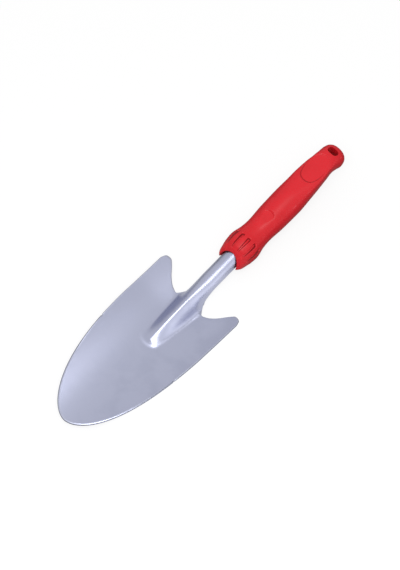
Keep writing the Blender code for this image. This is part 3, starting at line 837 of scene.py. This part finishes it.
def crease_painted_shade_at(x, y, z):
    """How much painted shade a point of the handle gets, where shade falls in its creases: flute walls,
    mouth, pad and hole.
    """
    radius = math.hypot(x, z)
    marks = [0.0]
    flute_starts = FLUTE_FROM - FLUTE_SHADE_MARGIN
    # painted shade along both walls of each flute
    if flute_starts < y < FLUTE_TO + FLUTE_SHADE_MARGIN and radius > FLUTE_SHADE_RADIUS:
        pitch = 2.0 * math.pi / FLUTE_COUNT
        turn = (math.atan2(x, z) / pitch) % 1.0 - 0.5
        across = abs(turn * pitch * radius)
        half = flute_half_width(y)
        corner = max(0.0, y - (FLUTE_TO - FLUTE_END_WALL - half))
        edge = math.hypot(across, corner) if corner > 0.0 else across
        fade = smoothstep(y, flute_starts, FLUTE_FROM + FLUTE_SHADE_FADE)
        marks.append(fade * near(edge - FLUTE_SHADE_AT * half, FLUTE_SHADE_WIDTH * half))
    # painted shade in the mouth and the socket behind it
    if radius < MOUTH_SHADE_RADIUS and y < MOUTH_RECESS + MOUTH_SHADE_DEPTH:
        marks.append(MOUTH_SHADE)
    # painted shade round the pad, on its front half only, where its wall is turned from the key lamp
    if z > 0.0:
        front = 1.0 - smoothstep(y, PAD_CENTRE + PAD_SHADE_FADE[0], PAD_CENTRE + PAD_SHADE_FADE[1])
        marks.append(PAD_SHADE * front * near(pad_distance(x, y), PAD_SHADE_WIDTH))
    # painted shade inside the hanging hole
    beyond = max(0.0, abs(x) - 0.5 * (HOLE_ACROSS - HOLE_ALONG))
    if math.hypot(beyond, y - HOLE_CENTRE) < 0.5 * HOLE_ALONG - HOLE_SHADE_MARGIN:
        marks.append(HOLE_SHADE)
    return max(marks)


def write_crease_painted_shade(handle):
    # the painted crease shade is stored on the handle's points as the recess attribute
    marks = handle.data.attributes.new("recess", "FLOAT", "POINT")
    for vertex in handle.data.vertices:
        marks.data[vertex.index].value = crease_painted_shade_at(*vertex.co)


def pad_distance(x, y):
    """Distance outside the pad's oval outline. It is negative inside."""
    along = y - PAD_CENTRE
    reach = abs(2.0 * x / PAD_WIDTH) ** PAD_SQUARENESS + abs(2.0 * along / PAD_LENGTH) ** PAD_SQUARENESS
    share = reach ** (1.0 / PAD_SQUARENESS)
    if share < 0.5:
        return -0.25 * PAD_WIDTH
    return (1.0 - 1.0 / share) * math.hypot(x, along)


def carve(handle):
    """Sink the thumb rest, the pad and the land round the hole into the blank."""
    socket = SHANK_RADIUS + SOCKET_GAP + 0.2 * MM
    for vertex in handle.data.vertices:
        x, y, z = vertex.co
        if math.hypot(x, z) < socket and y < TAIL_DEPTH + 2.0 * MM:
            continue
        if z > 0.0:
            z = carved_by_thumb_rest(x, y, z)
            z = carved_by_pad(x, y, z)
            z = carved_by_land(x, y, z)
        vertex.co = (x, y, z)


def cut_hanging_hole(handle):
    """An oval hole through the end, whose cutter's ends are flared to round both of its rims."""
    place = Matrix.Translation((0.0, HOLE_CENTRE, LAND_HEIGHT)) @ Matrix.Rotation(-LAND_TILT, 4, "X")
    outside = HOLE_ROUNDING - HOLE_INSET + CUTTER_SPREAD * CUTTER_REACH
    curve = [0.5 * math.pi * i / HOLE_ROUNDING_STEPS for i in range(HOLE_ROUNDING_STEPS + 1)]
    rounding = [
        (HOLE_ROUNDING * math.sin(t), HOLE_ROUNDING * (1.0 - math.cos(t)) - HOLE_INSET) for t in curve
    ]
    levels = [(-HOLE_LENGTH - CUTTER_REACH, outside)]
    levels += [(-HOLE_LENGTH + HOLE_ROUNDING - rise, grow) for rise, grow in reversed(rounding)]
    levels += [(-HOLE_ROUNDING + rise, grow) for rise, grow in rounding]
    levels.append((CUTTER_REACH, outside))
    clear_selection()
    bpy.ops.mesh.primitive_circle_add(
        vertices=HOLE_SIDES, radius=1.0, fill_type="NGON", rotation=(0.0, 0.0, math.pi / HOLE_SIDES),
    )
    hole = new_primitive("hole")
    apply_place(hole)
    rim = [v.co.copy() for v in hole.data.vertices]
    row = list(range(HOLE_SIDES))

    def level_points(level, grow):
        radius = 0.5 * HOLE_ALONG + grow
        straight = 0.5 * (HOLE_ACROSS - HOLE_ALONG)
        return [
            Vector((p.x * radius + math.copysign(straight, p.x), p.y * radius, level)) for p in rim
        ]

    for v, point in zip(hole.data.vertices, level_points(*levels[0])):
        v.co = point
    edit(hole)
    for level, grow in levels[1:]:
        row = extrude_row(hole, row, level_points(level, grow))
    bpy.ops.mesh.select_all(action="SELECT")
    bpy.ops.mesh.normals_make_consistent(inside=False)
    bpy.ops.object.mode_set(mode="OBJECT")
    hole.data.transform(place)
    cut(handle, hole)


def make_handle():
    """One moulding: the blank is smoothed, its recesses are carved, and the hole is cut through."""
    handle = handle_blank()
    apply_modifier(handle, "SUBSURF", levels=1, render_levels=1)
    carve(handle)
    apply_modifier(handle, "SMOOTH", factor=0.4, iterations=1)
    cut_hanging_hole(handle)
    write_crease_painted_shade(handle)
    handle.rotation_euler.x = SHANK_RISE
    handle.location = AXIS_START
    apply_place(handle)
    handle.data.materials.clear()
    handle.data.materials.append(red_plastic)
    take_up(handle)
    bpy.ops.object.shade_smooth_by_angle(angle=math.radians(40))
    return handle


# Materials

STEEL = (0.435, 0.455, 0.585)
STEEL_SMUDGED = (0.405, 0.425, 0.550)
STEEL_EDGES = (0.62, 0.64, 0.72)
# painted shade in the steel's inner corners
STEEL_PAINTED_CORNER_SHADE = (0.26, 0.27, 0.35)
# painted shade on the sheet's wall
STEEL_WALL_PAINTED_SHADE = (0.20, 0.21, 0.27)
PLASTIC = (0.75, 0.012, 0.022)
PLASTIC_SMUDGED = (0.70, 0.010, 0.018)
# painted highlight on the plastic's convex edges
PLASTIC_PAINTED_EDGE_HIGHLIGHT = (0.93, 0.08, 0.10)
# painted shade in the plastic's inner corners
PLASTIC_PAINTED_CORNER_SHADE = (0.22, 0.003, 0.006)
# painted shade for the handle's creases, mouth and hole
PLASTIC_PAINTED_SHADE = (0.16, 0.001, 0.003)
SCRATCH_LAYERS = ((0.35, 0.0), (-0.6, 0.37))    # turn and offset of each layer of hairlines
SCRATCH_SCALE = (1400.0, 30.0, 400.0)
WHITE = (1.0, 1.0, 1.0, 1.0)


def feed(tree, value, socket):
    """Link another node's output to a socket, or set a plain value on it."""
    if isinstance(value, bpy.types.NodeSocket):
        tree.links.new(value, socket)
    else:
        socket.default_value = value


def node(tree, kind, **values):
    """Add a node. Values go to its properties, or to its inputs where the name is an input's."""
    made = tree.nodes.new(kind)
    for key, value in values.items():
        if hasattr(made, key):
            setattr(made, key, value)
        else:
            feed(tree, value, made.inputs[key.replace("_", " ")])
    return made


def combined(tree, first, second, operation="ADD"):
    made = node(tree, "ShaderNodeMath", operation=operation)
    feed(tree, first, made.inputs[0])
    feed(tree, second, made.inputs[1])
    return made.outputs[0]


def ranged(tree, value, low=0.0, high=1.0, start=0.0, end=1.0, curve="LINEAR"):
    """The value's way from start to end, turned into a way from low to high."""
    made = node(
        tree, "ShaderNodeMapRange", interpolation_type=curve,
        Value=value, From_Min=start, From_Max=end, To_Min=low, To_Max=high,
    )
    return made.outputs["Result"]


def mixed(tree, factor, first, second):
    """A colour between two, by a mask. Each is a colour or another node's output."""
    made = node(tree, "ShaderNodeMix", data_type="RGBA")
    for index, value in ((0, factor), (6, first), (7, second)):
        feed(tree, (*value, 1.0) if isinstance(value, tuple) else value, made.inputs[index])
    return made.outputs[2]


def new_group(name, inputs, outputs):
    group = bpy.data.node_groups.new(name, "ShaderNodeTree")
    for label, kind, value in inputs:
        socket = group.interface.new_socket(label, in_out="INPUT", socket_type=kind)
        socket.default_value = value
    for label in outputs:
        group.interface.new_socket(label, in_out="OUTPUT", socket_type="NodeSocketFloat")
    return group, group.nodes.new("NodeGroupInput").outputs, group.nodes.new("NodeGroupOutput").inputs


def make_surface_grain():
    """Fine, even unevenness of a surface, as a height of 0 to 1."""
    group, source, result = new_group(
        "surface_grain",
        [("Vector", "NodeSocketVector", (0.0, 0.0, 0.0)), ("Scale", "NodeSocketFloat", 1000.0),
         ("Roughness", "NodeSocketFloat", 0.6)],
        ["Height"],
    )
    noise = node(
        group, "ShaderNodeTexNoise", Detail=3.0,
        Vector=source["Vector"], Scale=source["Scale"], Roughness=source["Roughness"],
    )
    feed(group, noise.outputs["Fac"], result["Height"])
    return group


def make_edge_wear_and_painted_light():
    """Convex edges and inner corners of a piece, broken up a little: the edges for the steel's wear and
    the plastic's painted highlight, the corners for painted shade.
    """
    group, source, result = new_group(
        "edge_wear_and_painted_light",
        [("Vector", "NodeSocketVector", (0.0, 0.0, 0.0)), ("Width", "NodeSocketFloat", 0.04),
         ("Breakup", "NodeSocketFloat", 0.02)],
        ["Edges", "Painted Corner Shade"],
    )
    bend = node(group, "ShaderNodeNewGeometry").outputs["Pointiness"]
    noise = node(group, "ShaderNodeTexNoise", Scale=260.0, Detail=3.0, Vector=source["Vector"])
    centred = combined(group, noise.outputs["Fac"], 0.5, "SUBTRACT")
    broken = combined(group, bend, combined(group, centred, source["Breakup"], "MULTIPLY"))
    high = combined(group, source["Width"], 0.5)
    low = combined(group, 0.5, source["Width"], "SUBTRACT")
    feed(group, ranged(group, broken, start=0.505, end=high, curve="SMOOTHSTEP"), result["Edges"])
    feed(group, ranged(group, broken, start=0.495, end=low, curve="SMOOTHSTEP"), result["Painted Corner Shade"])
    return group


def make_handling_marks():
    """Faint smudges and hairline scratches left by handling, as two masks."""
    group, source, result = new_group(
        "handling_marks",
        [("Vector", "NodeSocketVector", (0.0, 0.0, 0.0)), ("Smudge Scale", "NodeSocketFloat", 45.0)],
        ["Smudges", "Scratches"],
    )
    blots = node(
        group, "ShaderNodeTexNoise", Detail=4.0, Roughness=0.55, Distortion=0.6,
        Vector=source["Vector"], Scale=source["Smudge Scale"],
    )
    smudges = ranged(group, blots.outputs["Fac"], start=0.42, end=0.68, curve="SMOOTHSTEP")
    layers = []
    for turn, offset in SCRATCH_LAYERS:
        mapped = node(
            group, "ShaderNodeMapping", Vector=source["Vector"],
            Rotation=(0.0, 0.0, turn), Location=(offset, 0.0, 0.0), Scale=SCRATCH_SCALE,
        )
        lines = node(group, "ShaderNodeTexNoise", Scale=1.0, Detail=1.0, Vector=mapped.outputs[0])
        layers.append(ranged(group, lines.outputs["Fac"], start=0.71, end=0.76))
    feed(group, smudges, result["Smudges"])
    feed(group, combined(group, *layers, "MAXIMUM"), result["Scratches"])
    return group


def new_material(name, smudge_scale, edge_width, edge_breakup, grain_scale, grain_roughness):
    """A material with the three shared effects placed in it."""
    material = bpy.data.materials.new(name)
    material.use_nodes = True
    tree = material.node_tree
    place = node(tree, "ShaderNodeTexCoord").outputs["Object"]
    marks = node(
        tree, "ShaderNodeGroup", node_tree=handling_marks, Vector=place, Smudge_Scale=smudge_scale,
    )
    wear_and_painted_light = node(
        tree, "ShaderNodeGroup", node_tree=edge_wear_and_painted_light, Vector=place, Width=edge_width, Breakup=edge_breakup,
    )
    grain = node(
        tree, "ShaderNodeGroup", node_tree=surface_grain, Vector=place,
        Scale=grain_scale, Roughness=grain_roughness,
    )
    return material, tree, marks.outputs, wear_and_painted_light.outputs, grain.outputs


def finish_material(tree, tone, rough, grain, strength, distance):
    """Give the shader its colour, its roughness and its fine unevenness. Returns it."""
    shader = tree.nodes["Principled BSDF"]
    bump = node(tree, "ShaderNodeBump", Strength=strength, Distance=distance, Height=grain["Height"])
    feed(tree, tone, shader.inputs["Base Color"])
    feed(tree, rough, shader.inputs["Roughness"])
    feed(tree, bump.outputs["Normal"], shader.inputs["Normal"])
    return shader


def make_satin_steel():
    material, tree, marks, wear_and_painted_light, grain = new_material("satin_steel", 38.0, 0.05, 0.02, 2600.0, 0.7)
    tone = mixed(tree, marks["Smudges"], STEEL, STEEL_SMUDGED)
    tone = mixed(tree, ranged(tree, wear_and_painted_light["Edges"], 0.0, 0.5), tone, STEEL_EDGES)
    # painted shade in the inner corners
    tone = mixed(tree, ranged(tree, wear_and_painted_light["Painted Corner Shade"], 0.0, 0.35), tone, STEEL_PAINTED_CORNER_SHADE)
    # painted shade on the sheet's wall and the front's broken edges
    wall_painted_shade = node(tree, "ShaderNodeAttribute", attribute_name="wall_painted_shade").outputs["Fac"]
    tone = mixed(tree, wall_painted_shade, tone, STEEL_WALL_PAINTED_SHADE)
    rough = ranged(tree, grain["Height"], 0.30, 0.36)
    rough = combined(tree, rough, ranged(tree, marks["Smudges"], 0.0, 0.04))
    rough = combined(tree, rough, ranged(tree, marks["Scratches"], 0.0, 0.06))
    shader = finish_material(tree, tone, rough, grain, 0.12, 0.05 * MM)
    shader.inputs["Metallic"].default_value = 1.0
    return material


def make_red_plastic():
    material, tree, marks, wear_and_painted_light, grain = new_material("red_plastic", 60.0, 0.10, 0.03, 1500.0, 0.5)
    tone = mixed(tree, marks["Smudges"], PLASTIC, PLASTIC_SMUDGED)
    # painted highlight along the convex edges
    tone = mixed(tree, ranged(tree, wear_and_painted_light["Edges"], 0.0, 0.45), tone, PLASTIC_PAINTED_EDGE_HIGHLIGHT)
    # painted shade in the inner corners
    tone = mixed(tree, ranged(tree, wear_and_painted_light["Painted Corner Shade"], 0.0, 0.55), tone, PLASTIC_PAINTED_CORNER_SHADE)
    # painted shade in the handle's creases, mouth, pad front and hole, which are also made a little
    # rougher
    recess = node(tree, "ShaderNodeAttribute", attribute_name="recess").outputs["Fac"]
    tone = mixed(tree, ranged(tree, recess, 0.0, 0.80), tone, PLASTIC_PAINTED_SHADE)
    rough = ranged(tree, marks["Smudges"], 0.35, 0.41)
    rough = combined(tree, rough, ranged(tree, recess, 0.0, 0.20))
    rough = combined(tree, rough, ranged(tree, marks["Scratches"], 0.0, 0.08))
    shader = finish_material(tree, tone, rough, grain, 0.10, 0.06 * MM)
    shader.inputs["Specular IOR Level"].default_value = 0.36
    return material


# Studio

CAMERA_AZIMUTH = math.radians(44.54)
CAMERA_ELEVATION = math.radians(67.45)
CAMERA_ROLL = math.radians(-0.24)
CAMERA_DISTANCE = 1.5176
CAMERA_LENS = 78.2
CAMERA_SENSOR = 24.0
FRAMING = (-3.89 * MM, 3.77 * MM)      # the view's middle, from the origin: to the right, and up
FLOOR_SIZE = 6.0
FLOOR_DROP = 0.0003                    # it lies this far below the trowel
FLOOR_TONE = 0.18
FLOOR_GLOW = 0.84
FLOOR_PAINTED_REFLECTION = (0.30, 1.15)         # painted reflection: how bright reflections see the floor glow, left and right
FLOOR_SIDES = 80.0 * MM
FLOOR_DARK_REAR = (24.0 * MM, 44.0 * MM)   # the painted reflection darkens over this stretch, towards the handle
FLOOR_AT_HANDLE = 0.12
AMBIENT = (0.26, 0.74)          # the even light that falls on it, from the sides and from above
BRIGHTNESS = (                  # what reflections see: how far to the trowel's right, and how bright
    (-1.0, 0.78),
    (-0.85, 0.93),
    (-0.30, 0.93),
    (0.10, 0.67),
    (0.45, 0.67),
    (1.0, 1.65),
)
KEY_DIRECTION = (0.20, -0.22, 0.95)
KEY_DISTANCE = 1.1
KEY_TURN = math.radians(26)
KEY_SIZE = (0.50, 0.58)
KEY_POWER = 5.2


def add_camera():
    a, e = CAMERA_AZIMUTH, CAMERA_ELEVATION
    back = Vector((math.sin(a) * math.cos(e), -math.cos(a) * math.cos(e), math.sin(e)))
    right = Vector((math.cos(a), math.sin(a), 0.0))
    up = back.cross(right)
    place = right * FRAMING[0] + up * FRAMING[1] + back * CAMERA_DISTANCE
    data = bpy.data.cameras.new("photo_camera")
    camera = bpy.data.objects.new("photo_camera", data)
    bpy.context.scene.collection.objects.link(camera)
    turn = Matrix((right, up, back)).transposed().to_4x4()
    camera.matrix_world = Matrix.Translation(place) @ turn @ Matrix.Rotation(CAMERA_ROLL, 4, "Z")
    data.sensor_fit = "VERTICAL"
    data.sensor_height = CAMERA_SENSOR
    data.lens = CAMERA_LENS
    data.clip_start = 0.05
    bpy.context.scene.camera = camera


def add_key_lamp():
    """A soft lamp that stands in this direction from the trowel and faces it, turned to its length."""
    data = bpy.data.lights.new("key", "AREA")
    data.shape = "RECTANGLE"
    data.size, data.size_y = KEY_SIZE
    data.energy = KEY_POWER
    lamp = bpy.data.objects.new("key", data)
    bpy.context.scene.collection.objects.link(lamp)
    away = Vector(KEY_DIRECTION).normalized()
    side = Vector((math.sin(KEY_TURN), math.cos(KEY_TURN), 0.0)).cross(away).normalized()
    axes = Matrix((side, away.cross(side), away)).transposed().to_4x4()
    lamp.matrix_world = Matrix.Translation(away * KEY_DISTANCE) @ axes


def seen_directly(tree):
    """1 for what the camera sees, also in a reflection or through glass, and 0 for what only lights."""
    path = node(tree, "ShaderNodeLightPath").outputs
    seen = combined(tree, path["Is Camera Ray"], path["Is Glossy Ray"], "MAXIMUM")
    return combined(tree, seen, path["Is Transmission Ray"], "MAXIMUM"), path["Is Camera Ray"]


def add_floor():
    """A pale floor that is white to the camera. What reflections see of it is a painted reflection, a glow
    that is graded.
    """
    clear_selection()
    bpy.ops.mesh.primitive_plane_add(size=FLOOR_SIZE, location=(0.0, 0.0, -FLOOR_DROP))
    floor = new_primitive("studio_floor")
    material = bpy.data.materials.new("studio_white")
    material.use_nodes = True
    tree = material.node_tree
    tree.nodes.remove(tree.nodes["Principled BSDF"])
    seen, camera_sees = seen_directly(tree)
    place = node(tree, "ShaderNodeTexCoord").outputs["Object"]
    across = node(tree, "ShaderNodeSeparateXYZ", Vector=place).outputs
    sided = ranged(tree, across["X"], *FLOOR_PAINTED_REFLECTION, -FLOOR_SIDES, FLOOR_SIDES)
    rear = ranged(tree, across["Y"], 1.0, FLOOR_AT_HANDLE, *FLOOR_DARK_REAR)
    # painted reflection: the floor's glow for reflections, darker on the left and towards the handle
    painted_reflection = combined(tree, seen, combined(tree, sided, rear, "MULTIPLY"), "MULTIPLY")
    direct = combined(tree, camera_sees, FLOOR_GLOW, "MULTIPLY")
    strength = combined(tree, painted_reflection, direct, "MAXIMUM")
    glow = node(tree, "ShaderNodeEmission", Color=WHITE, Strength=strength)
    paint = node(tree, "ShaderNodeBsdfDiffuse", Color=(FLOOR_TONE, FLOOR_TONE, FLOOR_TONE, 1.0))
    both = node(tree, "ShaderNodeAddShader")
    feed(tree, paint.outputs[0], both.inputs[0])
    feed(tree, glow.outputs[0], both.inputs[1])
    feed(tree, both.outputs[0], tree.nodes["Material Output"].inputs["Surface"])
    floor.data.materials.append(material)


def light_the_world():
    """White where the camera looks. Otherwise it is brighter on the trowel's right side."""
    world = bpy.data.worlds.new("studio")
    bpy.context.scene.world = world
    world.use_nodes = True
    tree = world.node_tree
    background = tree.nodes["Background"]
    background.inputs["Color"].default_value = WHITE
    way = node(tree, "ShaderNodeTexCoord").outputs["Generated"]
    toward = node(tree, "ShaderNodeSeparateXYZ", Vector=way).outputs
    ramp = node(tree, "ShaderNodeValToRGB", Fac=ranged(tree, toward["X"], start=-1.0))
    ramp.color_ramp.interpolation = "EASE"
    stops = ramp.color_ramp.elements
    while len(stops) < len(BRIGHTNESS):
        stops.new(0.5)
    brightest = max(level for _, level in BRIGHTNESS)
    for stop, (side, level) in zip(stops, BRIGHTNESS):
        stop.position = 0.5 + 0.5 * side
        stop.color = (level / brightest, level / brightest, level / brightest, 1.0)
    seen, camera_sees = seen_directly(tree)
    overhead = ranged(tree, toward["Z"], *AMBIENT)
    soft = combined(tree, overhead, combined(tree, 1.0, seen, "SUBTRACT"), "MULTIPLY")
    sided = combined(tree, ramp.outputs["Color"], combined(tree, seen, brightest, "MULTIPLY"), "MULTIPLY")
    final = node(tree, "ShaderNodeMix")
    for index, value in ((0, camera_sees), (2, combined(tree, soft, sided)), (3, 1.0)):
        feed(tree, value, final.inputs[index])
    feed(tree, final.outputs[0], background.inputs["Strength"])


surface_grain = make_surface_grain()
edge_wear_and_painted_light = make_edge_wear_and_painted_light()
handling_marks = make_handling_marks()
satin_steel = make_satin_steel()
red_plastic = make_red_plastic()

blade_piece = make_blade()
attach(blade_piece, "root")
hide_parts("blade")

handle_piece = make_handle()
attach(handle_piece, "root")
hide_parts("handle")

add_floor()
light_the_world()
add_key_lamp()
add_camera()
bpy.context.scene.view_settings.view_transform = "Standard"
